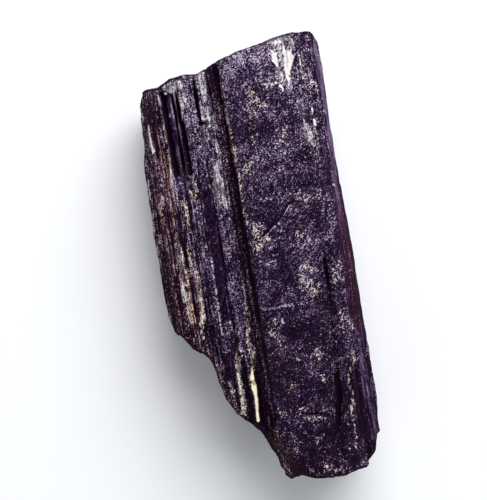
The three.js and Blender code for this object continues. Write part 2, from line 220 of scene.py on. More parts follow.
GRAIN_BEDS = [
    [(2.3, 22.2, 0.15), (2.9, 22.1, 0.4), (3.0, 21.4, 0.35), (3.1, 20.7, 0.35), (4.2, 20.0, 0.35)],
    [(2.1, 19.8, 0.2), (2.7, 19.8, 0.25), (3.0, 19.2, 0.2), (2.8, 18.6, 0.1)],
    [(4.1, 23.1, 0.08), (4.5, 22.5, 0.1)],
    [(0.2, 5.2, 0.2), (0.8, 4.8, 0.4), (1.5, 5.0, 0.2)],
    [(-0.4, 6.4, 0.14), (-0.2, 5.6, 0.1)],
    [(0.6, 4.0, 0.25), (1.0, 3.3, 0.3), (2.1, 3.1, 0.25)],
    [(0.0, 2.9, 0.2), (0.4, 2.3, 0.45), (0.9, 2.4, 0.3)],
    [(5.4, -1.1, 0.0), (6.2, -1.2, 0.24), (6.6, -1.6, 0.2), (7.4, -2.1, 0.12)],
    [(5.2, -1.8, 0.0), (5.6, -3.0, 0.1), (5.3, -4.2, 0.06)],
    [(6.2, -3.0, 0.1), (6.5, -4.2, 0.36), (6.6, -4.8, 0.42)],
    [(7.3, -3.7, 0.1), (7.2, -4.4, 0.22)],
    [(5.8, 1.6, 0.2), (6.1, 1.5, 0.28)],
    [(6.0, 3.0, 0.25), (6.4, 2.9, 0.28)],
    [(1.2, -15.6, 0.2), (1.8, -15.7, 0.45), (2.2, -16.1, 0.3), (1.4, -16.5, 0.2)],
    [(5.9, -15.3, 0.15), (6.2, -15.8, 0.3)],
    [(5.6, -12.0, 0.12), (6.1, -12.1, 0.2), (5.9, -12.9, 0.2)],
    [(3.4, -12.9, 0.25), (3.5, -13.2, 0.1)],
    [(0.0, -19.1, 0.3), (0.3, -19.4, 0.3)],
    [(2.1, -19.7, 0.1), (2.4, -19.3, 0.15), (3.1, -19.2, 0.28)],
    [(6.7, 8.3, 0.1), (6.6, 7.7, 0.14)],
    [(8.0, 7.8, 0.14), (7.7, 7.1, 0.2)],
    [(9.5, 8.1, 0.15), (9.4, 7.4, 0.24), (9.3, 7.0, 0.2)],
    [(1.1, -7.4, 0.3), (0.8, -8.2, 0.2), (0.3, -8.9, 0.3), (0.8, -9.2, 0.25)],
    [(1.2, -9.6, 0.12), (1.4, -10.6, 0.1)],
    [(10.5, 3.9, 0.0), (10.45, 3.4, 0.12), (10.5, 2.9, 0.0)],
    [(9.6, -2.4, 0.1), (9.7, -3.2, 0.2), (9.6, -4.0, 0.1)],
    [(10.4, -1.7, 0.1), (10.7, -2.2, 0.06)],
    [(9.7, -7.4, 0.0), (9.6, -9.6, 0.03)],
    [(10.2, -8.3, 0.1), (10.6, -8.9, 0.0), (11.0, -10.1, 0.04)],
    [(4.5, -26.6, 0.2), (4.8, -27.0, 0.3), (5.3, -27.5, 0.25), (6.1, -27.5, 0.25), (7.0, -28.0, 0.2)],
    [(9.3, -27.1, 0.2), (9.9, -27.2, 0.3)],
    [(-0.6, -26.3, 0.25), (-0.2, -26.7, 0.3), (0.0, -27.4, 0.15)],
    [(10.4, -12.9, 0.15), (10.3, -13.7, 0.35), (10.6, -13.9, 0.3)],
    [(2.2, 16.2, 0.12), (2.3, 15.4, 0.18), (2.2, 14.8, 0.1)],
    [(6.35, 16.5, 0.1), (6.2, 15.9, 0.14), (5.4, 15.0, 0.12)],
    [(0.5, 12.2, 0.35), (1.3, 12.9, 0.25)],
    [(-1.0, -21.6, 0.1), (-0.6, -23.4, 0.12)],
    [(3.5, -20.5, 0.06), (4.4, -20.7, 0.2), (5.2, -20.8, 0.06)],
    [(-0.2, -24.4, 0.06), (0.2, -25.4, 0.08)],
    [(1.1, -22.4, 0.1), (1.2, -23.4, 0.08), (0.9, -25.0, 0.08)],
    [(2.6, -27.0, 0.12), (3.4, -27.8, 0.1)],
    [(4.2, -23.3, 0.16), (3.9, -23.6, 0.16)],
    [(11.0, 21.9, 0.2), (10.9, 21.6, 0.15)],
]

SMOOTH_FACES = [
    [(-7.45, 23.3, 1.1), (-7.5, 18.0, 1.1), (-7.5, 13.0, 1.0)],
    [(-11.35, 23.8, 0.2), (-11.35, 16.5, 0.2)],
    [(-1.6, 26.4, 0.6), (-1.5, 22.0, 0.35)],
    [(12.05, 27.2, 0.35), (12.05, 13.0, 0.4), (11.8, 8.0, 0.6), (11.8, -12.0, 0.7)],
    [(11.55, -13.6, 0.45), (11.55, -18.0, 0.6), (11.5, -24.0, 0.6)],
    [(-4.85, 10.0, 0.5), (-4.85, 3.0, 0.65), (-4.9, -6.0, 0.5)],
    [(11.2, 13.0, 0.1), (11.4, 6.0, 0.3), (11.3, -9.0, 0.4)],
    [(-5.8, -11.0, 0.35), (-5.8, -13.9, 0.35)],
    [(10.2, -15.8, 0.35), (10.3, -26.0, 0.35)],
]

# Thin dark lines in the cracks and crevices: painted shade, and carved in a little as well.
SHADED_CREVICES = [
    [(-1.0, 26.2, 0.07), (-0.95, 8.0, 0.08), (-1.0, -20.5, 0.08)],
    [(8.1, 28.3, 0.0), (8.2, 26.4, 0.04), (8.05, 24.2, 0.0)],
    [(-2.35, 26.0, 0.05), (-2.1, 19.0, 0.05)],
    [(-1.75, 12.0, 0.07), (-1.7, -8.0, 0.07), (-1.9, -21.0, 0.1)],
    [(-4.15, 24.9, 0.1), (-4.1, 18.9, 0.1)],
    [(-4.2, 19.15, 0.24), (-3.4, 19.1, 0.22)],
    [(-8.4, 23.9, 0.26), (-8.35, 18.0, 0.32), (-8.3, 13.2, 0.32)],
    [(-7.15, 23.4, 0.09), (-7.15, 12.9, 0.09)],
    [(-6.65, 23.4, 0.1), (-6.65, 19.8, 0.1)],
    [(-6.45, 19.6, 0.24), (-6.4, 12.8, 0.14)],
    [(-10.4, 20.2, 0.1), (-10.3, 16.0, 0.12)],
    [(-9.2, 24.0, 0.05), (-9.25, 13.0, 0.07)],
    [(-11.75, 21.4, 0.06), (-11.7, 12.0, 0.1), (-11.6, 2.0, 0.08)],
    [(-11.0, 24.0, 0.05), (-11.1, 12.0, 0.06)],
    [(-8.85, 8.0, 0.06), (-8.9, 3.2, 0.1), (-8.8, -2.0, 0.14), (-8.75, -7.2, 0.1)],
    [(-7.35, 8.8, 0.07), (-7.35, -1.0, 0.09), (-7.4, -7.0, 0.1)],
    [(-10.3, 9.0, 0.05), (-10.3, 2.0, 0.08)],
    [(-10.55, 0.0, 0.2), (-10.5, -5.0, 0.2)],
    [(-5.75, 12.0, 0.05), (-5.8, 2.5, 0.06)],
    [(-5.4, 1.0, 0.05), (-5.5, -9.0, 0.06)],
    [(-4.3, -1.0, 0.05), (-4.3, -7.0, 0.06)],
    [(-3.75, -12.0, 0.12), (-3.7, -16.0, 0.22), (-3.8, -20.2, 0.2)],
    [(-5.25, -12.8, 0.1), (-5.2, -18.2, 0.12)],
    [(-2.3, -13.5, 0.12), (-2.4, -20.4, 0.16)],
    [(-6.2, -8.5, 0.06), (-6.2, -12.0, 0.06)],
    [(8.7, -0.5, 0.05), (8.65, -1.5, 0.12), (8.65, -3.4, 0.1), (8.6, -5.0, 0.02)],
    [(8.0, -15.0, 0.05), (7.8, -16.5, 0.28), (7.65, -18.6, 0.34), (7.2, -20.4, 0.2)],
    [(7.2, -20.4, 0.24), (6.9, -21.8, 0.34), (6.4, -23.2, 0.2)],
    [(1.3, 3.45, 0.12), (2.2, 4.2, 0.14), (3.3, 4.95, 0.07), (4.2, 5.65, 0.08), (4.6, 6.3, 0.1)],
    [(4.6, 6.3, 0.1), (5.3, 7.05, 0.12), (6.1, 7.35, 0.08)],
    [(6.8, 8.9, 0.06), (7.6, 9.2, 0.1), (8.6, 9.0, 0.06)],
    [(2.1, 1.35, 0.1), (2.5, 1.15, 0.14), (3.0, 1.1, 0.06)],
    [(3.4, -19.9, 0.08), (4.6, -20.0, 0.14), (5.9, -20.4, 0.1)],
    [(-0.4, -6.15, 0.05), (1.2, -6.15, 0.06)],
    [(9.6, -15.4, 0.07), (9.75, -19.0, 0.07), (9.6, -24.0, 0.06)],
    [(10.85, -13.6, 0.05), (10.8, -25.8, 0.08)],
    [(11.72, 28.0, 0.03), (11.78, 20.0, 0.05), (11.8, 12.5, 0.03)],
    [(-0.75, 26.3, 0.05), (-0.75, 6.0, 0.05), (-0.7, -20.0, 0.06)],
]

# Pale lines on cracks and raised rib edges: partly pale worn edges, partly a painted highlight where an
# edge faces the light.
PALE_CRACKS_AND_HIGHLIGHTS = [
    [(1.4, 3.0, 0.1), (2.3, 3.85, 0.1), (3.5, 4.7, 0.09), (4.3, 5.3, 0.07), (4.8, 6.1, 0.09)],
    [(4.8, 6.1, 0.09), (5.4, 6.85, 0.1), (6.6, 7.0, 0.06)],
    [(-0.3, -5.6, 0.12), (0.2, -5.75, 0.16), (1.3, -5.9, 0.14), (2.3, -5.8, 0.08)],
    [(2.3, -5.75, 0.12), (3.0, -5.7, 0.22), (3.9, -5.8, 0.1), (5.2, -5.9, 0.1)],
    [(0.2, -0.15, 0.05), (1.2, -0.1, 0.07), (2.1, 0.15, 0.1), (2.9, 0.1, 0.05)],
    [(2.1, 0.85, 0.09), (3.3, 0.85, 0.13)],
    [(9.9, -14.9, 0.1), (9.45, -15.7, 0.06), (9.2, -16.8, 0.06), (9.5, -18.2, 0.08)],
    [(9.5, -18.2, 0.08), (9.25, -19.3, 0.08), (8.9, -20.6, 0.12), (9.0, -21.6, 0.06)],
    [(9.0, -21.6, 0.06), (9.0, -23.2, 0.06), (8.85, -24.4, 0.08), (8.8, -25.6, 0.08)],
    [(10.6, -13.5, 0.05), (10.7, -13.8, 0.1), (10.2, -14.6, 0.08), (9.8, -15.0, 0.1)],
    [(9.7, -9.4, 0.05), (10.3, -10.0, 0.06), (11.2, -10.2, 0.06), (11.4, -10.9, 0.05)],
    [(-5.65, 1.9, 0.07), (-5.65, -2.0, 0.08), (-5.7, -5.0, 0.07), (-5.85, -8.6, 0.09)],
    [(-4.5, -3.4, 0.05), (-4.5, -7.0, 0.07)],
    [(-0.84, 25.9, 0.05), (-0.8, 20.0, 0.06), (-0.85, 10.0, 0.04)],
    [(-1.25, 2.0, 0.08), (-1.3, -6.0, 0.11), (-1.25, -9.2, 0.13)],
    [(-1.2, -10.6, 0.09), (-1.15, -15.0, 0.11), (-1.1, -17.0, 0.15), (-1.0, -19.6, 0.15)],
    [(-2.05, 11.2, 0.04), (-2.1, 9.0, 0.1), (-2.1, 7.6, 0.04)],
    [(-2.15, 1.0, 0.05), (-2.15, -5.8, 0.08)],
    [(-12.0, 15.8, 0.05), (-12.1, 14.0, 0.08), (-12.15, 9.0, 0.08), (-12.2, 5.5, 0.1)],
    [(3.2, -20.2, 0.04), (4.2, -20.45, 0.1), (5.1, -20.6, 0.08), (6.0, -20.9, 0.03)],
    [(-6.92, 23.4, 0.06), (-6.95, 13.0, 0.05)],
    [(-7.4, 22.2, 0.05), (-7.35, 20.4, 0.08)],
    [(-8.1, 21.5, 0.02), (-7.9, 21.4, 0.04)],
    [(-7.9, 14.9, 0.03), (-7.5, 14.8, 0.05)],
    [(4.4, 22.9, 0.05), (4.8, 22.5, 0.12), (4.9, 22.2, 0.08)],
    [(5.1, 22.4, 0.06), (5.05, 21.8, 0.12)],
    [(4.9, 23.6, 0.08), (5.1, 23.1, 0.04)],
    [(5.5, 22.8, 0.06), (5.9, 22.4, 0.12)],
    [(-8.95, 24.1, 0.05), (-8.95, 19.4, 0.07)],
    [(-6.4, -8.6, 0.04), (-6.35, -13.0, 0.07)],
    [(-4.1, -9.3, 0.05), (-3.85, -10.5, 0.08), (-3.7, -11.5, 0.04)],
    [(-3.35, -10.6, 0.04), (-3.3, -12.0, 0.1), (-3.15, -12.8, 0.05)],
    [(-4.1, -11.6, 0.04), (-4.15, -13.6, 0.07)],
    [(-5.05, -10.3, 0.06), (-5.2, -10.8, 0.07)],
    [(-5.35, -13.3, 0.06), (-5.45, -14.6, 0.05)],
    [(-2.0, -10.2, 0.06), (-1.9, -11.4, 0.05)],
    [(-5.55, 16.0, 0.05), (-5.6, 12.5, 0.08)],
    [(-4.0, 18.5, 0.1), (-4.1, 16.4, 0.09), (-4.1, 14.6, 0.08)],
    [(-9.05, 12.9, 0.08), (-8.4, 12.6, 0.06), (-7.9, 13.0, 0.06), (-7.6, 12.4, 0.08)],
    [(11.6, -13.2, 0.05), (11.5, -18.0, 0.06), (11.7, -23.5, 0.05)],
    [(11.1, -14.0, 0.04), (11.05, -22.0, 0.06)],
    [(12.05, 8.0, 0.01), (12.05, -3.0, 0.02)],
    [(11.6, 3.0, 0.01), (11.65, -9.0, 0.02)],
]

# Soft painted shade in the hollows: the floor of the main groove, the long furrow, the shaded flanks.
SHADED_HOLLOWS = [
    [(-1.65, 26.2, 0.1), (-1.6, 19.0, 0.25), (-1.45, 0.0, 0.2), (-1.5, -20.0, 0.25)],
    [(8.7, -1.0, 0.1), (8.6, -5.0, 0.25), (8.3, -9.0, 0.35), (7.9, -13.0, 0.45)],
    [(7.9, -13.0, 0.5), (7.5, -17.0, 0.75), (7.1, -20.0, 0.7), (6.6, -23.2, 0.6)],
    [(-12.1, 20.0, 0.15), (-12.4, 8.0, 0.2), (-11.8, 3.0, 0.5), (-11.4, -2.0, 1.0)],
    [(-11.4, -2.0, 1.0), (-10.9, -6.5, 0.8), (-9.4, -8.4, 0.5), (-8.0, -10.6, 0.4)],
    [(-7.2, -12.0, 0.8), (-6.7, -16.0, 0.45), (-5.2, -19.0, 0.4), (-3.4, -20.6, 0.5)],
    [(-2.2, -20.8, 0.6), (-1.2, -23.0, 0.7), (0.1, -25.5, 0.6), (1.6, -27.8, 0.6)],
    [(8.4, 13.6, 0.7), (7.5, 12.4, 0.5)],
    [(11.3, 21.2, 0.2), (11.4, 16.0, 0.25)],
    [(10.2, -15.8, 0.3), (10.3, -26.0, 0.3)],
    [(3.5, -28.6, 0.4), (7.5, -28.8, 0.3), (10.6, -27.8, 0.2)],
    [(-3.6, -12.6, 0.15), (-3.6, -19.8, 0.3)],
]

# Painted violet reflection of the sky on clean, smooth prism faces.
PAINTED_SHEEN = [
    [(12.15, 27.6, 0.26), (12.12, 20.0, 0.42), (12.0, 14.0, 0.4), (11.8, 9.0, 0.36)],
    [(11.8, 9.0, 0.34), (11.7, 5.0, 0.16)],
    [(11.9, 4.0, 0.02), (11.95, -8.0, 0.04)],
    [(11.45, 5.0, 0.0), (11.5, -9.0, 0.03)],
    [(11.35, -10.2, 0.08), (11.5, -13.2, 0.1)],
    [(11.9, -10.0, 0.05), (12.0, -13.4, 0.05)],
    [(11.35, -13.2, 0.2), (11.5, -15.0, 0.5), (11.5, -18.0, 0.65), (11.4, -24.2, 0.55)],
    [(-7.5, 23.2, 0.1), (-7.5, 18.0, 0.12), (-7.6, 14.0, 0.08)],
    [(-6.93, 23.3, 0.07), (-6.95, 13.0, 0.07)],
    [(-11.2, 23.6, 0.1), (-11.3, 17.0, 0.1)],
]

# Ground that is dustier than the rest of the front, or barer, over a few millimetres. The lighter
# ground on the right bevel is a painted reflection, and the barer ground along the hollows and the main
# groove is painted shade.
DUST_AND_REFLECTION = [
    [(0.0, 11.8, 0.4), (1.5, 13.2, 0.5), (3.0, 14.0, 0.4), (5.5, 14.8, 0.4), (6.3, 16.2, 0.3)],
    [(0.3, 25.6, 0.8), (4.0, 26.2, 0.8)],
    [(8.3, 21.5, 0.6), (8.8, 18.0, 0.5)],
    [(4.6, 13.8, 0.5), (6.0, 13.2, 0.4)],
    [(0.6, 9.6, 0.5), (3.0, 8.2, 0.6), (5.0, 8.3, 0.4)],
    [(0.4, 5.0, 0.7), (1.0, 3.0, 0.6)],
    [(6.8, 8.0, 0.5), (9.8, 7.6, 0.6)],
    [(0.3, -2.4, 0.6), (0.7, -4.6, 0.5)],
    [(6.0, -2.0, 0.8), (6.2, -4.4, 0.8)],
    [(10.6, 6.6, 0.2), (10.5, 4.0, 0.3), (10.2, 1.0, 0.2), (10.3, -3.0, 0.1)],
    [(9.2, 16.6, 0.3), (9.6, 14.6, 0.4)],
    [(-3.4, -8.4, 0.9), (-3.0, -12.0, 0.6)],
    [(-2.6, -7.0, 0.3), (-2.4, -12.6, 0.4)],
    [(-4.4, -11.5, 0.3), (-4.6, -18.4, 0.4)],
    [(-5.7, -14.4, 0.2), (-5.5, -18.0, 0.2)],
    [(-4.4, -13.0, 0.1), (-4.5, -17.5, 0.2)],
    [(9.8, -1.8, 0.2), (9.7, -9.6, 0.2)],
    [(0.9, -7.6, 0.6), (1.0, -9.6, 0.4)],
    [(3.4, -12.6, 0.5), (6.2, -12.5, 0.6)],
    [(4.0, -21.0, 0.6), (4.8, -23.0, 0.7)],
    [(3.0, -26.6, 0.6), (7.0, -27.4, 0.5)],
    [(-5.2, 23.0, 0.9), (-5.2, 13.0, 0.8)],
    [(-3.2, 24.0, 0.2), (-3.2, 15.0, 0.3), (-3.1, 11.5, 1.0), (-3.0, 9.0, 0.9)],
    # On the right bevel this lighter ground is a painted reflection, not dust.
    [(12.1, 27.5, 0.5), (12.1, 9.0, 0.5)],
    [(-7.9, 24.3, 0.5), (-5.8, 24.6, 0.6)],
    [(-3.2, -1.5, 0.5), (-3.2, -10.5, 0.6)],
    [(-6.5, 8.0, 0.3), (-6.5, -6.0, 0.3)],
    [(-9.6, 10.0, 0.4), (-9.6, -6.0, 0.3)],
]
# Barer ground is darker; the strokes along the hollows and the main groove are painted shade.
BARED_AND_SHADED = [
    [(2.4, 17.4, 0.7), (5.0, 17.2, 0.8)],
    [(5.4, 20.6, 0.5), (6.4, 19.4, 0.4)],
    [(6.9, 14.6, 0.6), (8.2, 13.4, 0.6), (9.0, 12.0, 0.4)],
    [(2.5, 11.8, 0.4), (4.0, 11.6, 0.6), (4.4, 12.8, 0.3)],
    [(7.2, 10.4, 0.6), (8.8, 10.2, 0.6)],
    [(5.4, 5.0, 0.6), (4.0, 3.0, 0.7), (3.6, 1.8, 0.4)],
    [(2.2, -1.6, 0.7), (4.2, -2.0, 0.4)],
    [(3.2, -9.2, 0.8), (6.0, -9.2, 0.8), (7.2, -11.0, 0.5)],
    [(1.6, -17.8, 0.8), (5.6, -17.8, 0.8)],
    [(11.3, 21.2, 0.2), (11.3, 17.6, 0.25)],
    [(10.2, -15.6, 0.4), (10.3, -26.0, 0.4)],
    [(11.9, 4.0, 0.3), (11.9, -9.0, 0.4)],
    [(11.5, -14.5, 0.3), (11.4, -24.0, 0.4)],
    [(-7.7, 22.8, 0.1), (-7.7, 13.6, 0.1)],
    [(-4.9, 10.0, 0.6), (-4.9, -6.0, 0.6)],
    [(4.0, 1.0, 1.2), (4.0, -2.0, 1.2), (2.6, -4.0, 0.8)],
    [(-11.4, -1.0, 0.8), (-11.0, -6.6, 0.8)],
    [(-5.8, -11.0, 0.3), (-5.8, -13.8, 0.3)],
    [(-1.5, 26.0, 0.5), (-1.5, -21.0, 0.5)],
    [(-9.0, -8.5, 0.7), (-7.6, -12.0, 0.6), (-6.9, -15.0, 0.4)],
    [(-10.4, 24.0, 0.8), (-10.2, 20.5, 0.8)],
]
# Maroon ground: a red-purple tint of the schorl, and on the right bevel and the left flank partly a
# painted red reflection.
MAROON = [
    [(-10.6, 24.0, 1.1), (-10.4, 12.0, 1.5), (-10.2, -6.0, 2.0)],
    [(11.9, 10.0, 0.2), (11.9, 0.0, 0.8), (11.8, -10.0, 0.6)],
    [(-1.6, 26.0, 0.3), (-1.6, -21.0, 0.3)],
    [(-1.6, -21.0, 0.8), (0.0, -25.0, 1.0), (1.4, -28.0, 1.0)],
    [(-9.0, -8.5, 1.0), (-7.4, -12.5, 0.8), (-6.6, -16.0, 0.5)],
]

# What the skin carries: its strokes, how far a stroke's edge fades, and how far the marbling
# frays it, in millimetres.
STROKES = {
    "white_film": (WHITE_FILM, 0.07, 0.09),
    "cream_crust": (CREAM_CRUST, 0.16, 0.25),
    "feldspar": (FELDSPAR, 0.06, 0.05),
    "silver_film": (SILVER_FILM, 0.09, 0.13),
    "brown_stain": (BROWN_STAIN, 0.25, 0.25),
    "grain_bed": (GRAIN_BEDS, 0.35, 0.28),
    "shaded_crevice": (SHADED_CREVICES, 0.08, 0.06),
    "pale_crack_and_highlight": (PALE_CRACKS_AND_HIGHLIGHTS, 0.08, 0.06),
    "smooth_face": (SMOOTH_FACES, 0.15, 0.1),
    "dust_and_reflection": (DUST_AND_REFLECTION, 0.7, 0.25),
    "bared_and_shaded": (BARED_AND_SHADED, 0.7, 0.25),
    "maroon": (MAROON, 0.7, 0.25),
    "hollow": (SHADED_HOLLOWS, 0.4, 0.25),
    "painted_sheen": (PAINTED_SHEEN, 0.12, 0.06),
}

# The strokes that are carved as well as coloured.
CARVED_STROKES = ("smooth_face", "cream_crust", "shaded_crevice")

# Low steps in the front plate: [(x, y), ...] with the raised side on the right, then how high
# the step stands and how far it takes to sink back, in millimetres.
LEDGES = [
    ([(0.6, 2.7), (1.8, 3.5), (3.4, 4.85), (4.3, 5.5), (4.7, 6.2), (5.4, 6.95), (6.8, 7.3)], 0.26, 3.0),
    ([(6.2, 7.4), (6.8, 8.8), (8.4, 9.0), (10.8, 8.8)], 0.14, 2.0),
    ([(3.0, -19.9), (4.4, -20.15), (6.3, -20.7)], 0.22, 1.4),
    ([(-0.5, -5.9), (1.2, -6.0), (5.2, -6.0)], 0.07, 0.8),
    ([(2.0, 1.0), (3.4, 1.05)], 0.14, 0.5),
    ([(5.0, -1.6), (5.9, -0.8), (7.6, -1.9)], 0.16, 1.5),
    ([(8.9, -26.0), (8.9, -20.6), (9.4, -18.2), (9.2, -16.8), (10.0, -14.6)], 0.2, 0.8),
]

# A step's edge rises over a short way, with a sunken foot beside it, and fades out at its ends.
LEDGE_RISE = 0.12
LEDGE_FOOT = 0.5
LEDGE_FOOT_REACH = 0.2
LEDGE_END = 1.0

# The front plate is everything right of the main groove. Left of the groove a band comes first,
# not quite as flat, and then the ribs. Beyond the long furrow the plate's last strip is a
# quarter ribbed. The front lies above FRONT_LOW.
PLATE_LEFT = -0.7
BAND_LEFT = -6.2
BAND_FLATNESS = 0.6
STRIP_LEFT = 8.2
STRIP_RIBBING = 0.25
PLATE_RIGHT = 10.9
FRONT_LOW = 9.0

# The plate's faces are cut finer where they look up this much, this far in from its right edge.
CUT_UPWARD = 0.8
CUT_MARGIN = 0.5

# How much of a normal points a face's way, where the face starts to count and counts in full.
FRONT_TILT = (-0.35, 0.05)
SIDE_TILT = (0.35, 0.6)
UNDER_TILT = (0.5, 0.8)
BREAK_TILT = (0.3, 0.6)
FLAT_TILT = (0.35, 0.75)

# The breaks are most splintered below the first height and least above the second.
SPLINTER_HEIGHTS = (7.0, 12.5)

# Streaks on the faces that the front strokes don't reach.
STREAKS_ON_FACE = 7
STREAK_STARTS = (-22, 26)
STREAK_LENGTHS = (2.0, 9.0)
STREAK_HALF_WIDTHS = (0.06, 0.24)
STREAK_DRIFT = 0.25
STREAK_TIP = 0.04


def streaks_on_face(seed, low, high):
    """Streaks along the prism on a face, each between low and high across it, in millimetres."""
    pick = random.Random(seed)
    strokes = []
    for _ in range(STREAKS_ON_FACE):
        across = pick.uniform(low, high)
        start = pick.uniform(*STREAK_STARTS)
        reach = pick.uniform(*STREAK_LENGTHS)
        half_width = pick.uniform(*STREAK_HALF_WIDTHS)
        drift = pick.uniform(-STREAK_DRIFT, STREAK_DRIFT)
        middle = (across + drift / 2, start - reach / 2, half_width)
        end = (across + drift, start - reach, STREAK_TIP)
        strokes.append([(across, start, STREAK_TIP), middle, end])
    return strokes


# ---------------------------------------------------------------- settings


def linear(hex_colour):
    """A colour written as sRGB hex, in the linear values that shaders use."""
    channels = [int(hex_colour[i : i + 2], 16) / 255 for i in (0, 2, 4)]
    return tuple(c / 12.92 if c <= 0.04045 else ((c + 0.055) / 1.055) ** 2.4 for c in channels)


def length_setting(name, description, millimetres):
    """A length that the user can change, kept in metres."""
    return bpy.props.FloatProperty(
        name=name,
        description=description,
        default=millimetres * MM,
        min=0.0,
        precision=5,
        unit="LENGTH",
        subtype="DISTANCE",
    )


def colour_setting(name, description, hex_colour):
    """A colour that the user can change."""
    return bpy.props.FloatVectorProperty(
        name=name,
        description=description,
        default=linear(hex_colour),
        size=3,
        min=0.0,
        max=1.0,
        subtype="COLOR",
    )


class TourmalineRelief(bpy.types.PropertyGroup):
    """How deep each kind of relief is carved."""

    rib: length_setting("Ribs", "Depth of the ribs along the prism", 0.3)
    striation: length_setting("Striations", "Depth of the fine striations", 0.16)
    broken_rib: length_setting("Broken ribs", "Height at which a broken rib stops short", 0.36)
    splinter: length_setting("Splinters", "Height of the thin broken splinters", 0.16)
    swell: length_setting("Swell", "Slow unevenness of every face", 0.3)
    pit: length_setting("Pits", "Depth of the pits in the front plate", 0.22)
    grain: length_setting("Grain", "Height of the grain in every weathered face", 0.1)
    fracture: length_setting("Fracture", "Depth of the chips in both breaks", 1.6)
    hackle: length_setting("Hackle", "Depth of the splinters in both breaks", 0.6)
    crust: length_setting("Crust", "Thickness of the cream crusts", 0.1)
    crevice: length_setting("Crevice", "Depth of the dark crevices", 0.26)


class TourmalineColours(bpy.types.PropertyGroup):
    """The colours of schorl and of what grew on it, each with the shade it has in a hollow."""

    deep: colour_setting("Deep schorl", "Schorl in shade and in clean breaks", "0f0213")
    body: colour_setting("Body schorl", "Schorl on weathered faces", "38214a")
    dust: colour_setting("Dusty schorl", "Schorl where it is finely pitted", "d2c4dc")
    # The maroon colours below are partly a painted red reflection on the flanks, as well as an
    # iron-rich tint.
    maroon_deep: colour_setting("Deep maroon", "Iron-rich schorl in shade", "1a020e")
    maroon: colour_setting("Maroon schorl", "Schorl with an iron-rich tint", "4a2440")
    maroon_dust: colour_setting("Maroon dust", "Pitted schorl, iron rich", "d0b6c8")
    # The two colours below are a painted violet reflection on clean prism faces, with its shaded end.
    painted_sheen_shade: colour_setting("Sheen shade", "Clean prism faces in shade", "4d3857")
    painted_sheen: colour_setting("Sheen", "Clean prism faces", "a594ae")
    brown: colour_setting("Brown stain", "Iron stain", "5f3b40")
    rust: colour_setting("Rust stain", "Iron stain on raised grain", "dcae92")
    grain_shade: colour_setting("Grain shade", "Between feldspar grains", "4a3440")
    grain: colour_setting("Grain", "Feldspar grains", "e6d7d2")
    silver_shade: colour_setting("Silver shade", "Thin mica in shade", "5f5264")
    silver: colour_setting("Silver film", "Thin silvery mica", "dcd8dc")
    cream_shade: colour_setting("Cream shade", "Clayey crust where it is thin", "6e5a5a")
    cream: colour_setting("Cream crust", "Clayey feldspar crust", "e9dcd0")
    feldspar_shade: colour_setting("Feldspar shade", "Worn edge of the sliver", "a8946a")
    feldspar: colour_setting("Feldspar", "One solid butter-coloured sliver", "fdf3d6")
    white_shade: colour_setting("White shade", "White mica where it is thin", "8e878c")
    white: colour_setting("White film", "White mica", "f6f2ee")


class TourmalineStage(bpy.types.PropertyGroup):
    """The floor, lights and camera."""

    camera_height: length_setting("Camera height", "From the front plate to the camera", 280.0)
    view_height: length_setting("View height", "What the view takes in, top to bottom", 64.0)
    camera_roll: bpy.props.FloatProperty(
        name="Camera roll",
        description="How far the view turns round the vertical",
        default=math.radians(-9.4),
        subtype="ANGLE",
    )
    floor_colour: colour_setting("Floor", "Pale matte floor", "f6f9fb")


# ---------------------------------------------------------------- helpers


def add(tree, kind, inputs=(), out=0, **settings):
    """Adds a node with its settings, links or fills its inputs, and returns one output.

    The inputs are given in their order, or in a dictionary by name or number.
    """
    node = tree.nodes.new(kind)
    for name, value in settings.items():
        setattr(node, name, value)
    pairs = inputs.items() if isinstance(inputs, dict) else enumerate(inputs)
    for key, value in pairs:
        if isinstance(value, bpy.types.NodeSocket):
            tree.links.new(value, node.inputs[key])
        else:
            node.inputs[key].default_value = value
    return node.outputs[out] if node.outputs else node


def select_alone(piece):
    """Selects one piece and nothing else."""
    bpy.ops.object.select_all(action="DESELECT")
    piece.select_set(True)
    bpy.context.view_layer.objects.active = piece


def edit(piece):
    """Opens one piece alone in edit mode, with nothing selected in it."""
    select_alone(piece)
    bpy.ops.object.mode_set(mode="EDIT")
    bpy.ops.mesh.select_all(action="DESELECT")


def points_of(piece):
    """The piece's points in millimetres, and their normals."""
    count = len(piece.data.vertices)
    place = np.empty(count * 3, np.float32)
    normal = np.empty(count * 3, np.float32)
    piece.data.vertices.foreach_get("co", place)
    piece.data.vertices.foreach_get("normal", normal)
    return place.reshape(-1, 3) * PER_METRE, normal.reshape(-1, 3)


def eased(value, low, high):
    """0 below low, 1 above high, eased between."""
    share = np.clip((value - low) / (high - low), 0, 1)
    return share * share * (3 - 2 * share)


def from_segment(across, along, start, end):
    """Where a segment is nearest each point, as a share of its length, and the point's offset."""
    dx = end[0] - start[0]
    dy = end[1] - start[1]
    share = ((across - start[0]) * dx + (along - start[1]) * dy) / (dx * dx + dy * dy)
    share = np.clip(share, 0, 1)
    return share, across - start[0] - share * dx, along - start[1] - share * dy


def inside(across, along, strokes):
    """Millimetres inside the nearest stroke at each point, negative outside."""
    best = np.full(len(across), -FAR, np.float32)
    for stroke in strokes:
        for start, end in zip(stroke, stroke[1:]):
            share, off_x, off_y = from_segment(across, along, start, end)
            half_width = start[2] + (end[2] - start[2]) * share
            best = np.maximum(best, half_width - np.hypot(off_x, off_y))
    return best


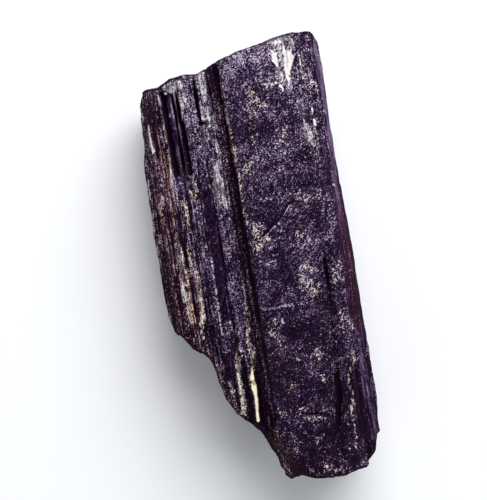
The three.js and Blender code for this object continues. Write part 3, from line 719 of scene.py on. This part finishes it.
def ledge(across, along, line, height, reach):
    """Height of a low step at each point: it stands up right of the line, and sinks back."""
    gap = np.full(len(across), np.inf, np.float32)
    side = np.zeros(len(across), np.float32)
    for start, end in zip(line, line[1:]):
        _, off_x, off_y = from_segment(across, along, start, end)
        distance = np.hypot(off_x, off_y)
        turn = np.sign(off_x * (end[1] - start[1]) - off_y * (end[0] - start[0]))
        side = np.where(distance < gap, turn, side)
        gap = np.minimum(gap, distance)
    ends = np.minimum(*(np.hypot(across - x, along - y) for x, y in (line[0], line[-1])))
    raised = eased(gap, 0.0, LEDGE_RISE) * np.exp(-gap / reach)
    foot = -LEDGE_FOOT * np.exp(-gap / LEDGE_FOOT_REACH)
    return height * eased(ends, 0.0, LEDGE_END) * np.where(side > 0, raised, foot)


def store(piece, name, values):
    """Keeps one number a point on the piece, for its carving and its material to read."""
    layer = piece.data.attributes.new(name, "FLOAT", "POINT")
    layer.data.foreach_set("value", values.astype(np.float32))


# ---------------------------------------------------------------- the crystal's skin


def refined_copy(node, name):
    """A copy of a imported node, merged, in quads, with crisp edges, a map and a fine mesh."""
    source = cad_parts[node]
    piece = source.copy()
    piece.data = source.data.copy()
    piece.name = name
    piece.parent = None
    piece.data.materials.clear()
    for key in list(piece.keys()):
        del piece[key]
    bpy.context.scene.collection.objects.link(piece)
    edit(piece)
    bpy.ops.mesh.select_all(action="SELECT")
    bpy.ops.mesh.remove_doubles(threshold=MERGE_DISTANCE)
    bpy.ops.mesh.tris_convert_to_quads(face_threshold=QUAD_ANGLE, shape_threshold=QUAD_ANGLE)
    bpy.ops.mesh.select_all(action="DESELECT")
    bpy.ops.mesh.edges_select_sharp(sharpness=CRISP_ANGLE)
    bpy.ops.transform.edge_crease(value=CRISPNESS)
    bpy.ops.mesh.select_all(action="SELECT")
    bpy.ops.uv.smart_project(angle_limit=MAP_ANGLE, island_margin=MAP_MARGIN, scale_to_bounds=True)
    bpy.ops.object.mode_set(mode="OBJECT")
    while len(piece.data.uv_layers) > 1:
        piece.data.uv_layers.remove(piece.data.uv_layers[0])
    piece.data.uv_layers[0].name = "OFBake"
    finer = piece.modifiers.new("finer skin", "SUBSURF")
    finer.levels = SKIN_LEVELS
    finer.render_levels = SKIN_LEVELS
    bpy.ops.object.modifier_apply(modifier=finer.name)
    refine_plate(piece)
    return piece


def refine_plate(piece):
    """Cuts the faces of the front plate in four, because they are the largest."""
    place, normal = points_of(piece)
    corners = np.empty(len(piece.data.polygons) * 4, np.int32)
    piece.data.polygons.foreach_get("vertices", corners)
    x, _, z = place[corners.reshape(-1, 4)].mean(1).T
    upward = normal[corners.reshape(-1, 4), 2].mean(1)
    within = (x > PLATE_LEFT) & (x < PLATE_RIGHT - CUT_MARGIN) & (z > FRONT_LOW)
    edit(piece)
    bpy.ops.mesh.select_mode(type="FACE")
    bpy.ops.object.mode_set(mode="OBJECT")
    piece.data.polygons.foreach_set("select", within & (upward > CUT_UPWARD))
    bpy.ops.object.mode_set(mode="EDIT")
    bpy.ops.mesh.subdivide(number_cuts=1)
    bpy.ops.mesh.select_all(action="DESELECT")
    bpy.ops.object.mode_set(mode="OBJECT")


def paint(piece):
    """Draws every stroke onto the skin, and where its faces, breaks and plate are."""
    place, normal = points_of(piece)
    x, y, z = place.T
    rightward, endward, upward = normal.T
    front = eased(upward, *FRONT_TILT) * eased(z, FRONT_LOW, FRONT_LOW + 1)
    broken = eased(np.abs(endward), *BREAK_TILT)
    # The left, right and under faces: where each is, and what runs across it, from, to.
    faces = (
        (eased(-rightward, *SIDE_TILT) * (1 - front), z, 1.0, 10.0),
        (eased(rightward, *SIDE_TILT) * (1 - front), z, 1.0, 12.5),
        (eased(-upward, *UNDER_TILT) * (1 - front), x, -9.0, 9.0),
    )
    for seed, (name, (strokes, *_)) in enumerate(STROKES.items()):
        field = np.where(front > 0.5, inside(x, y, strokes), -FAR)
        for turn, (face, across, low, high) in enumerate(faces):
            streaks = streaks_on_face(10 * seed + turn, low, high)
            field = np.where(face > 0.5, inside(across, y, streaks), field)
        store(piece, name, np.where((broken > 0.5) & (front < 0.5), -FAR, field))
    steps = sum(ledge(x, y, line, height, reach) for line, height, reach in LEDGES)
    plate = BAND_FLATNESS * eased(x, BAND_LEFT - 0.2, BAND_LEFT + 0.2)
    plate += (1 - BAND_FLATNESS) * eased(x, PLATE_LEFT - 0.1, PLATE_LEFT + 0.3)
    plate *= 1 - STRIP_RIBBING * eased(x, STRIP_LEFT, STRIP_LEFT + 1)
    plate *= 1 - eased(x, PLATE_RIGHT, PLATE_RIGHT + 0.6)
    store(piece, "ledge", steps * (front > 0.5))
    store(piece, "plate", plate * front)
    store(piece, "broken", broken)
    store(piece, "steep", 1 - eased(upward, *FLAT_TILT))
    store(piece, "hidden_break", broken * (1 - eased(z, *SPLINTER_HEIGHTS)))
    store(piece, "along", y / y.max())


# ---------------------------------------------------------------- carving


def carving_tree(relief):
    """The nodes that push the skin in and out along its normals, in millimetres."""
    tree = bpy.data.node_groups.new("carve the crystal", "GeometryNodeTree")
    for way in ("INPUT", "OUTPUT"):
        tree.interface.new_socket("Geometry", in_out=way, socket_type="NodeSocketGeometry")
    skin = add(tree, "NodeGroupInput")
    place = add(tree, "GeometryNodeInputPosition")
    mm = add(tree, "ShaderNodeVectorMath", {0: place, 3: PER_METRE}, operation="SCALE")
    along = add(tree, "ShaderNodeVectorMath", (mm, RIB_STRETCH), operation="MULTIPLY")
    wander = add(tree, "ShaderNodeTexNoise", {"Vector": mm, "Scale": 0.4, "Detail": 2.0}, out="Color")
    chipped = add(tree, "ShaderNodeVectorMath", (wander, CHIP_PUSH, mm), operation="MULTIPLY_ADD")

    # Where each kind of relief is, from what is painted on the skin: source, low, high, and the
    # share at each of those two.
    share = {
        name: add(tree, "GeometryNodeInputNamedAttribute", (name,), data_type="FLOAT")
        for name in (*CARVED_STROKES, "plate", "ledge", "broken", "hidden_break")
    }
    for name, source, low, high, least, most in (
        ("unplated", "plate", 0.0, 1.0, 1.0, 0.16),
        ("pitted", "plate", 0.0, 1.0, 0.35, 1.0),
        ("rough", "smooth_face", -0.3, 0.1, 1.0, 0.15),
        ("grown", "broken", 0.0, 1.0, 1.0, 0.0),
        ("splintered", "hidden_break", 0.0, 1.0, 0.18, 1.0),
        ("crusted", "cream_crust", -0.1, 0.2, 0.0, 1.0),
        ("creviced", "shaded_crevice", -0.12, 0.1, 0.0, 1.0),
    ):
        share[name] = add(tree, "ShaderNodeMapRange", (share[source], low, high, least, most))
    for name, first, second in (
        ("ribbed", "unplated", "rough"),
        ("ribbed", "ribbed", "grown"),
        ("pitted", "pitted", "rough"),
        ("splintered", "splintered", "broken"),
    ):
        share[name] = add(tree, "ShaderNodeMath", (share[first], share[second]), operation="MULTIPLY")

    # Noises: vector, features per millimetre, detail, roughness, depth, where it is.
    parts = []
    for vector, scale, detail, roughness, depth, where in (
        (along, 0.95, 2.0, 0.55, relief.rib, "ribbed"),
        (along, 2.8, 3.0, 0.6, relief.striation, "ribbed"),
        (mm, 0.22, 2.0, 0.5, relief.swell, "grown"),
        (mm, 0.9, 3.0, 0.6, relief.pit, "pitted"),
        (mm, 2.4, 2.0, 0.6, relief.grain, "pitted"),
        (chipped, 0.75, 4.0, 0.62, relief.hackle, "splintered"),
    ):
        inputs = {"Vector": vector, "Scale": scale, "Detail": detail, "Roughness": roughness}
        noise = add(tree, "ShaderNodeTexNoise", inputs)
        parts.append((noise, 0.5, 2 * depth, where))
    # Cells give flat tops to broken ribs, and bowls with ridges to the breaks.
    for vector, scale, output, middle, depth, where in (
        (along, 1.15, "Color", 0.5, relief.broken_rib, "ribbed"),
        (along, 2.6, "Color", 0.5, relief.splinter, "ribbed"),
        (chipped, 0.27, "Distance", 0.45, relief.fracture, "splintered"),
    ):
        cell = add(tree, "ShaderNodeTexVoronoi", {"Vector": vector, "Scale": scale}, out=output)
        parts.append((cell, middle, depth, where))
    height = 0.0
    for source, middle, depth, where in parts:
        offset = add(tree, "ShaderNodeMath", (source, middle), operation="SUBTRACT")
        amount = add(tree, "ShaderNodeMath", (share[where], depth * PER_METRE), operation="MULTIPLY")
        height = add(tree, "ShaderNodeMath", (offset, amount, height), operation="MULTIPLY_ADD")
    for where, depth in (("crusted", relief.crust), ("creviced", -relief.crevice), ("ledge", MM)):
        inputs = (share[where], depth * PER_METRE, height)
        height = add(tree, "ShaderNodeMath", inputs, operation="MULTIPLY_ADD")

    # Out along the normal, but never below the surface that the crystal lies on.
    normal = add(tree, "GeometryNodeInputNormal")
    metres = add(tree, "ShaderNodeMath", (height, MM), operation="MULTIPLY")
    push = add(tree, "ShaderNodeVectorMath", {0: normal, 3: metres}, operation="SCALE")
    pushed = add(tree, "ShaderNodeVectorMath", (place, push), operation="ADD")
    kept = add(tree, "ShaderNodeVectorMath", (pushed, (-1.0, -1.0, 0.0)), operation="MAXIMUM")
    noted = add(
        tree,
        "GeometryNodeStoreNamedAttribute",
        {"Geometry": skin, "Name": "relief", "Value": height},
        data_type="FLOAT",
        domain="POINT",
    )
    carved = add(tree, "GeometryNodeSetPosition", {"Geometry": noted, "Position": kept})
    add(tree, "NodeGroupOutput", (carved,))
    return tree


def carve(piece, relief):
    """Carves the relief into the skin for good."""
    select_alone(piece)
    tool = piece.modifiers.new("carve", "NODES")
    tool.node_group = carving_tree(relief)
    bpy.ops.object.modifier_apply(modifier=tool.name)
    bpy.ops.object.shade_smooth_by_angle(angle=SMOOTH_ANGLE)


# ---------------------------------------------------------------- the finish


def noises(tree, mm):
    """The noises that the finish is made of, by name."""
    along = add(tree, "ShaderNodeVectorMath", (mm, STREAK_STRETCH), operation="MULTIPLY")
    lean = {"Vector": mm, "Angle": MARBLE_LEAN}
    leaning = add(tree, "ShaderNodeVectorRotate", lean, rotation_type="Z_AXIS")
    grown = add(tree, "ShaderNodeVectorMath", (leaning, MARBLE_STRETCH), operation="MULTIPLY")
    sockets = ("Vector", "Scale", "Detail", "Roughness", "Distortion")
    # The vector, features per millimetre, detail, roughness and warp of each. Real pits and
    # striations are finer than the grit and the streaks, which are as coarse as they need to show.
    recipes = {
        "slow": (mm, 0.16, 2.0, 0.5, 0.0),
        "cluster": (grown, 0.65, 3.0, 0.6, 0.8),
        "marble": (grown, 3.5, 2.0, 0.7, 0.6),
        "grit": (mm, 6.4, 1.0, 0.7, 0.0),
        "streak": (along, 4.6, 3.0, 0.7, 0.0),
        "lines": (along, 1.6, 3.0, 0.65, 0.0),
    }
    return {
        name: add(tree, "ShaderNodeTexNoise", dict(zip(sockets, recipe)))
        for name, recipe in recipes.items()
    }


def grains_and_scars(tree, mm, cluster, broken):
    """Fine bright grains in two sizes, partly mineral dust and partly painted glints of tiny facets,
    and hair-fine pale scars that cross each other.
    """
    nudge = add(tree, "ShaderNodeTexNoise", {"Vector": mm, "Scale": 5.0}, out="Color")
    nudged = add(tree, "ShaderNodeVectorMath", (nudge, GRAIN_PUSH, mm), operation="MULTIPLY_ADD")
    fresh = add(tree, "ShaderNodeMapRange", (broken, 0.0, 1.0, 1.0, 0.35))
    found = {}
    # One grain to a cell, most of them tiny, and fewer to be seen on the breaks.
    for name, scale, widest in (("large_grain_and_glint", 1.7, 0.52), ("small_grain_and_glint", 3.6, 0.62)):
        cells = {"Vector": nudged, "Scale": scale}
        gap = add(tree, "ShaderNodeTexVoronoi", cells, out="Distance")
        luck = add(tree, "ShaderNodeTexVoronoi", cells, out="Color")
        radius = add(tree, "ShaderNodeMath", (luck, 3.0), operation="POWER")
        size = add(tree, "ShaderNodeMath", (radius, widest), operation="MULTIPLY")
        excess = add(tree, "ShaderNodeMath", (size, gap), operation="SUBTRACT")
        grain = add(tree, "ShaderNodeMapRange", (excess, -0.06, 0.16))
        found[name] = add(tree, "ShaderNodeMath", (grain, fresh), operation="MULTIPLY")
    cells = {"Vector": nudged, "Scale": 0.75}
    edge = add(tree, "ShaderNodeTexVoronoi", cells, out="Distance", feature="DISTANCE_TO_EDGE")
    scar = add(tree, "ShaderNodeMapRange", (edge, 0.0, 0.07, 1.0, 0.0))
    scarred = add(tree, "ShaderNodeMapRange", (cluster, 0.45, 0.58))
    found["scar"] = add(tree, "ShaderNodeMath", (scar, scarred), operation="MULTIPLY")
    return found


def fields(tree, noise):
    """How much of each thing painted on the skin there is at a point, by name.

    Every stroke is frayed by the marbling before it is used.
    """
    on = {
        name: add(tree, "ShaderNodeAttribute", out="Fac", attribute_name=name)
        for name in (*STROKES, "plate", "broken", "steep", "relief", "along")
    }
    ragged = add(tree, "ShaderNodeMapRange", (noise["marble"], 0.3, 0.7, -1.0, 1.0))
    smooth = {"interpolation_type": "SMOOTHSTEP"}
    for name, (_, soft, fray) in STROKES.items():
        frayed = add(tree, "ShaderNodeMath", (ragged, fray, on[name]), operation="MULTIPLY_ADD")
        on[name] = add(tree, "ShaderNodeMapRange", (frayed, -soft, soft, 0.0, 1.0), **smooth)
    bare = add(tree, "ShaderNodeMath", (1.0, on["plate"]), operation="SUBTRACT")
    bold = add(tree, "ShaderNodeMapRange", (on["smooth_face"], 0.0, 1.0, 1.0, 0.3))
    on["rib"] = add(tree, "ShaderNodeMath", (bare, bold), operation="MULTIPLY")
    return on


def lightness(tree, noise, on):
    """How light the surface is, from 0, deep schorl, to 1, a clean film or a fresh grain, with painted
    shade, highlights and reflection in it.
    """
    light = BASE_LIGHT
    # Each noise, how much it counts, and where it does.
    for source, share, where in (
        ("marble", 1.65, None),
        ("grit", 3.0, None),
        ("cluster", 1.1, None),
        ("slow", 0.7, None),
        ("streak", 3.7, "rib"),
        ("lines", 1.6, "rib"),
        ("marble", -0.5, "silver_film"),
        ("grit", -1.4, "silver_film"),
        ("streak", 0.9, "silver_film"),
        ("marble", -0.6, "painted_sheen"),
        ("grit", -0.8, "painted_sheen"),
        ("streak", 1.4, "painted_sheen"),
        ("marble", -1.1, "smooth_face"),
        ("grit", -1.3, "smooth_face"),
        ("cluster", -0.8, "smooth_face"),
        ("marble", -0.7, "broken"),
        ("grit", -1.1, "broken"),
        ("grit", 2.4, "hollow"),
        ("streak", 1.4, "hollow"),
        ("marble", 1.8, "grain_bed"),
        ("grit", 3.2, "grain_bed"),
        ("marble", 1.3, "cream_crust"),
        ("grit", 1.2, "cream_crust"),
    ):
        offset = add(tree, "ShaderNodeMath", (noise[source], 0.5), operation="SUBTRACT")
        if where is not None:
            offset = add(tree, "ShaderNodeMath", (offset, on[where]), operation="MULTIPLY")
        light = add(tree, "ShaderNodeMath", (offset, share, light), operation="MULTIPLY_ADD")
    # What lies on the surface, with painted shade, highlights and reflection, and how much lighter or
    # darker each makes it.
    for source, share in (
        # Bright grains: partly mineral dust, partly painted glints.
        ("large_grain_and_glint", 0.47),
        ("small_grain_and_glint", 0.44),
        # Raised skin lighter and carved-in skin darker: painted shade in the recesses.
        ("relief", 0.2),
        # Lighter towards the top end of the prism.
        ("along", 0.19),
        # Dustier ground lighter, barer ground darker; on the right bevel a painted reflection, along
        # the hollows painted shade.
        ("dust_and_reflection", 0.13),
        ("bared_and_shaded", -0.13),
        # Painted shade in the hollows.
        ("hollow", -0.32),
        ("smooth_face", -0.08),
        ("brown_stain", 0.12),
        ("grain_bed", 0.14),
        # Painted reflection on clean prism faces.
        ("painted_sheen", 0.25),
        ("silver_film", 0.3),
        ("cream_crust", 0.3),
        ("feldspar", 0.45),
        ("white_film", 0.3),
        # Pale cracks and edges, partly a painted highlight.
        ("pale_crack_and_highlight", 0.52),
        ("scar", 0.16),
        # Painted shade in the crevices.
        ("shaded_crevice", -0.6),
        # Painted shade on the steep sides.
        ("steep", -0.1),
        # Breaks darker: black fresh fracture, and partly painted shade where they slope away.
        ("broken", -0.28),
    ):
        light = add(tree, "ShaderNodeMath", (on[source], share, light), operation="MULTIPLY_ADD")

    # The middles of the feldspar and the white films hide the patterns under them. Where a crevice
    # crosses a white film, its middle is painted darker as shade in the crease.
    stained = add(tree, "ShaderNodeMapRange", (on["brown_stain"], 0.0, 1.0, 0.97, 0.62))
    worn = add(tree, "ShaderNodeMapRange", (noise["marble"], 0.34, 0.5, 0.84, 0.95))
    crease_shaded = add(tree, "ShaderNodeMath", (on["shaded_crevice"], -0.3, worn), operation="MULTIPLY_ADD")
    for cover, least in ((on["feldspar"], stained), (on["white_film"], crease_shaded)):
        core = add(tree, "ShaderNodeMath", (cover, least), operation="MULTIPLY")
        light = add(tree, "ShaderNodeMath", (light, core), operation="MAXIMUM")
    return add(tree, "ShaderNodeClamp", (light,))


def mineral_colour(tree, colours, light, noise, on):
    """One colour scale for each mineral, deep through middle to pale, laid over each other."""
    tinted = add(tree, "ShaderNodeMapRange", (noise["cluster"], 0.46, 0.66, 0.0, 0.4))
    reddened = add(tree, "ShaderNodeMath", (on["maroon"], tinted), operation="MAXIMUM")
    rusted = add(tree, "ShaderNodeMath", (on["brown_stain"], 0.5), operation="MULTIPLY")
    low_share = add(tree, "ShaderNodeMapRange", (light, 0.0, MIDDLE_LIGHT, 0.0, 1.0))
    low_half = add(tree, "ShaderNodeMath", (low_share, 1.5), operation="POWER")
    high_share = add(tree, "ShaderNodeMapRange", (light, MIDDLE_LIGHT, 1.0, 0.0, 1.0))
    high_half = add(tree, "ShaderNodeMath", (high_share, 1.9), operation="POWER")
    mixed = {"out": 2, "data_type": "RGBA"}
    colour = None
    for cover, *scale in (
        (None, "deep", "body", "dust"),
        # Maroon: a random red-purple tint, and in the maroon strokes partly a painted red reflection.
        (reddened, "maroon_deep", "maroon", "maroon_dust"),
        # Painted violet reflection on clean prism faces.
        (on["painted_sheen"], "deep", "painted_sheen_shade", "painted_sheen"),
        (on["brown_stain"], "maroon_deep", "brown", "rust"),
        (on["grain_bed"], "maroon_deep", "grain_shade", "grain"),
        (on["silver_film"], "deep", "silver_shade", "silver"),
        (on["cream_crust"], "maroon_deep", "cream_shade", "cream"),
        (on["feldspar"], "cream_shade", "feldspar_shade", "feldspar"),
        (rusted, "maroon_deep", "brown", "rust"),
        (on["white_film"], "deep", "white_shade", "white"),
    ):
        deep, middle, pale = ((*getattr(colours, name), 1.0) for name in scale)
        lower = add(tree, "ShaderNodeMix", {0: low_half, 6: deep, 7: middle}, **mixed)
        mineral = add(tree, "ShaderNodeMix", {0: high_half, 6: lower, 7: pale}, **mixed)
        if cover is None:
            colour = mineral
        else:
            colour = add(tree, "ShaderNodeMix", {0: cover, 6: colour, 7: mineral}, **mixed)
    return colour


def schorl(colours):
    """Schorl, black iron tourmaline, with the faces it grew and the breaks it got later.

    Grown faces are striated and finely pitted, a dull black with a purple cast, their sparkle
    painted as bright grains. Clean prism faces and the floors of the furrows are glassy, and the
    clean faces carry a painted violet reflection. Thin mica films are silvery to white, clayey
    feldspar crusts are cream and matte, iron stains are brown. Shade in the hollows and crevices
    is painted into the colour.
    """
    material = bpy.data.materials.new("schorl_striated")
    material.use_nodes = True
    tree = material.node_tree
    tree.nodes.clear()
    place = add(tree, "ShaderNodeTexCoord", out="Object")
    mm = add(tree, "ShaderNodeVectorMath", {0: place, 3: PER_METRE}, operation="SCALE")
    noise = noises(tree, mm)
    on = fields(tree, noise)
    on.update(grains_and_scars(tree, mm, noise["cluster"], on["broken"]))
    light = lightness(tree, noise, on)

    # Roughness: dull pitted faces, glassy clean ones, chalky crusts, dull sides.
    gloss = add(tree, "ShaderNodeMapRange", (noise["marble"], 0.3, 0.7, 0.42, 0.66))
    for cover, roughness in ((on["smooth_face"], 0.34), (on["cream_crust"], 0.8), (on["steep"], 0.95)):
        gloss = add(tree, "ShaderNodeMix", {0: cover, 2: gloss, 3: roughness}, data_type="FLOAT")

    # Fine relief, in millimetres, calmed on the clean faces.
    quiet = add(tree, "ShaderNodeMapRange", (on["smooth_face"], 0.0, 1.0, 1.0, 0.25))
    height = add(tree, "ShaderNodeMath", (light, 0.06), operation="MULTIPLY")
    for source, depth in (("grit", 0.06), ("marble", 0.16), ("streak", 0.12)):
        height = add(tree, "ShaderNodeMath", (noise[source], depth, height), operation="MULTIPLY_ADD")
    calmed = add(tree, "ShaderNodeMath", (height, quiet), operation="MULTIPLY")
    # Schorl's own index, with a low specular level, because pitted skin mirrors little.
    skin = {
        "Base Color": mineral_colour(tree, colours, light, noise, on),
        "Roughness": gloss,
        "IOR": 1.63,
        "Specular IOR Level": 0.045,
        "Specular Tint": (0.86, 0.74, 0.95, 1.0),
        "Normal": add(tree, "ShaderNodeBump", {"Height": calmed, "Distance": MM, "Strength": 1.0}),
    }
    add(tree, "ShaderNodeOutputMaterial", {"Surface": add(tree, "ShaderNodeBsdfPrincipled", skin)})
    return material


# ---------------------------------------------------------------- operators


class TOURMALINE_OT_crystal(bpy.types.Operator):
    """Refine, paint and carve the crystal, and give it its finish"""

    bl_idname = "tourmaline.crystal"
    bl_label = "Build the Crystal"

    def execute(self, context):
        piece = refined_copy(CRYSTAL_NODE, "schorl_prism")
        paint(piece)
        carve(piece, context.scene.tourmaline_relief)
        piece.data.materials.append(schorl(context.scene.tourmaline_colours))
        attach(piece, "root")
        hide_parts(CRYSTAL_NODE)
        return {"FINISHED"}


class TOURMALINE_OT_stage(bpy.types.Operator):
    """Set the floor, the lights and the camera"""

    bl_idname = "tourmaline.stage"
    bl_label = "Set the Stage"

    def execute(self, context):
        stage = context.scene.tourmaline_stage
        lay_floor(stage)
        hang_lights(context.scene)
        place_camera(context.scene, stage)
        return {"FINISHED"}


def lay_floor(stage):
    """A pale matte floor under the crystal."""
    bpy.ops.mesh.primitive_plane_add(size=3.0, location=(0, 0, 0))
    floor = bpy.context.object
    floor.name = "floor"
    matte = bpy.data.materials.new("floor_matte")
    matte.use_nodes = True
    shader = matte.node_tree.nodes["Principled BSDF"]
    shader.inputs["Base Color"].default_value = (*stage.floor_colour, 1.0)
    shader.inputs["Roughness"].default_value = 0.9
    shader.inputs["Specular IOR Level"].default_value = 0.2
    floor.data.materials.append(matte)


def hang_lights(scene):
    """A soft sky, dark overhead and dimmer to the left, and a window beyond the right shoulder."""
    world = bpy.data.worlds.new("soft sky")
    world.use_nodes = True
    tree = world.node_tree
    tree.nodes.clear()
    direction = add(tree, "ShaderNodeTexCoord", out="Generated")
    upward = add(tree, "ShaderNodeSeparateXYZ", (direction,), out="Z")
    rightward = add(tree, "ShaderNodeSeparateXYZ", (direction,), out="X")
    overhead = add(tree, "ShaderNodeMapRange", (upward, 0.4, 0.8, 1.35, 0.03))
    side = add(tree, "ShaderNodeMapRange", (rightward, -0.8, 0.4, 0.85, 1.0))
    strength = add(tree, "ShaderNodeMath", (overhead, side), operation="MULTIPLY")
    inputs = {"Color": (0.98, 0.99, 1.0, 1.0), "Strength": strength}
    add(tree, "ShaderNodeOutputWorld", {"Surface": add(tree, "ShaderNodeBackground", inputs)})
    scene.world = world
    lamp = bpy.data.lights.new("soft window", "AREA")
    lamp.shape = "SQUARE"
    lamp.size = 0.32
    lamp.energy = 1.5
    lamp.color = (1.0, 0.98, 1.0)
    holder = bpy.data.objects.new("soft window", lamp)
    holder.location = (0.12, 0.2, 0.26)
    holder.rotation_euler = aimed(holder.location, (0, 0, 0))
    scene.collection.objects.link(holder)
    scene.view_settings.view_transform = "Standard"


def aimed(start, end):
    """The turn that points a light from start to end."""
    x, y, z = (e - s for s, e in zip(start, end))
    flat = math.hypot(x, y)
    return (math.pi / 2 + math.atan2(z, flat), 0, math.atan2(y, x) - math.pi / 2)


def place_camera(scene, stage):
    """A camera straight above the front plate, turned so that the prism leans a little."""
    lens = bpy.data.cameras.new("camera")
    lens.sensor_fit = "VERTICAL"
    lens.sensor_height = SENSOR_HEIGHT
    lens.lens = SENSOR_HEIGHT * stage.camera_height / stage.view_height
    lens.clip_start = 0.01
    camera = bpy.data.objects.new("camera", lens)
    plate_top = CAD_BOX[1][2] - PLATE_DROP * MM
    across, along = (place * MM for place in VIEW_MIDDLE)
    camera.location = (across, along, plate_top + stage.camera_height)
    camera.rotation_euler = (0, 0, stage.camera_roll)
    scene.collection.objects.link(camera)
    scene.camera = camera


class TOURMALINE_PT_panel(bpy.types.Panel):
    """The crystal's tools, in the 3D view's sidebar"""

    bl_idname = "TOURMALINE_PT_panel"
    bl_label = "Tourmaline"
    bl_space_type = "VIEW_3D"
    bl_region_type = "UI"
    bl_category = "Tourmaline"

    def draw(self, context):
        layout = self.layout
        for group in SETTINGS:
            settings = getattr(context.scene, group)
            column = layout.column(align=True)
            for name in settings.__annotations__:
                column.prop(settings, name)
        layout.operator(TOURMALINE_OT_crystal.bl_idname)
        layout.operator(TOURMALINE_OT_stage.bl_idname)


SETTINGS = {
    "tourmaline_relief": TourmalineRelief,
    "tourmaline_colours": TourmalineColours,
    "tourmaline_stage": TourmalineStage,
}
CLASSES = (
    *SETTINGS.values(),
    TOURMALINE_OT_crystal,
    TOURMALINE_OT_stage,
    TOURMALINE_PT_panel,
)


def register():
    """Adds the classes, and their settings to the scene."""
    for cls in CLASSES:
        bpy.utils.register_class(cls)
    for name, group in SETTINGS.items():
        setattr(bpy.types.Scene, name, bpy.props.PointerProperty(type=group))


def unregister():
    """Takes the settings and the classes away again."""
    for name in SETTINGS:
        delattr(bpy.types.Scene, name)
    for cls in reversed(CLASSES):
        bpy.utils.unregister_class(cls)


def main():
    """Builds the crystal and its stage."""
    register()
    bpy.ops.tourmaline.crystal()
    bpy.ops.tourmaline.stage()


if __name__ == "__main__":
    main()
